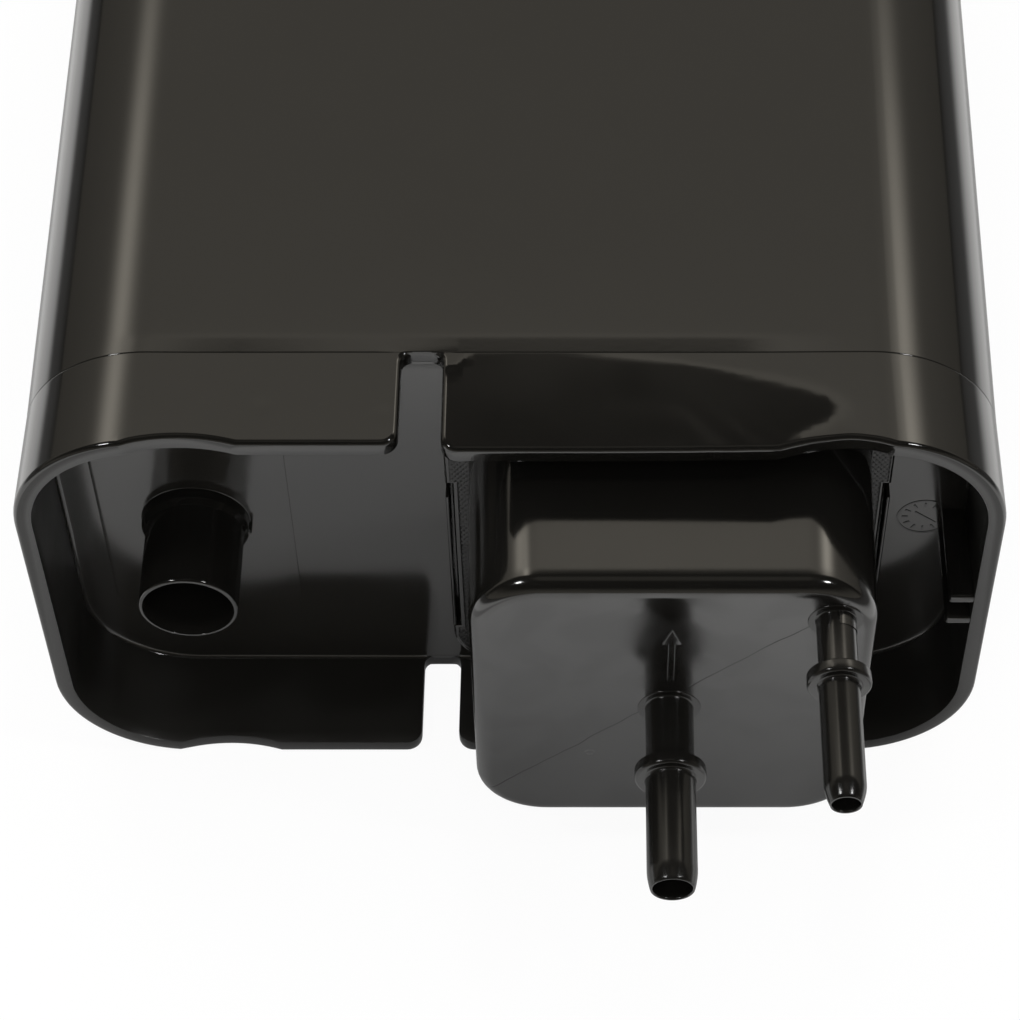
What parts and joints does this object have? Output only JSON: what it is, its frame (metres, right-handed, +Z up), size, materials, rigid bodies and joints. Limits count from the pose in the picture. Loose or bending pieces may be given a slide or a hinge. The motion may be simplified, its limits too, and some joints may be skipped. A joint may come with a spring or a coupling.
{
  "type": "charcoal canister",
  "caption": "Rectangular black plastic fuel vapour canister with a slotted skirt, a fresh-air tube and a welded port box with two quick-connect nipples.",
  "frame": {"origin": "on the resting face, under the middle of the bounding box", "axes": "+Y from the ports to the end cover, +Z up out of the broad face it lies on, +X across the canister with the port box on the +X side"},
  "size_m": [0.1584, 0.2666, 0.09],
  "materials": {
    "housing": "glossy black moulded polyamide",
    "inner_plastic": "satin black polypropylene",
    "fleece": "needled filter fleece",
    "carbon": "matt black granules",
    "spring_steel": "drawn spring wire"
  },
  "bodies": {
    "root": {"canister_body": "housing", "port_chamber": "housing", "end_cover": "housing", "fuel_side_grid": "inner_plastic", "vent_side_grid": "inner_plastic", "fuel_side_pressure_plate": "inner_plastic", "vent_side_pressure_plate": "inner_plastic", "fuel_side_front_fleece": "fleece", "vent_side_front_fleece": "fleece", "fuel_side_rear_fleece": "fleece", "vent_side_rear_fleece": "fleece", "fuel_side_carbon_bed": "carbon", "vent_side_carbon_bed": "carbon", "fuel_side_spring_1": "spring_steel", "fuel_side_spring_2": "spring_steel", "fuel_side_spring_3": "spring_steel", "fuel_side_spring_4": "spring_steel", "vent_side_spring_1": "spring_steel", "vent_side_spring_2": "spring_steel"}
  },
  "joints": []
}
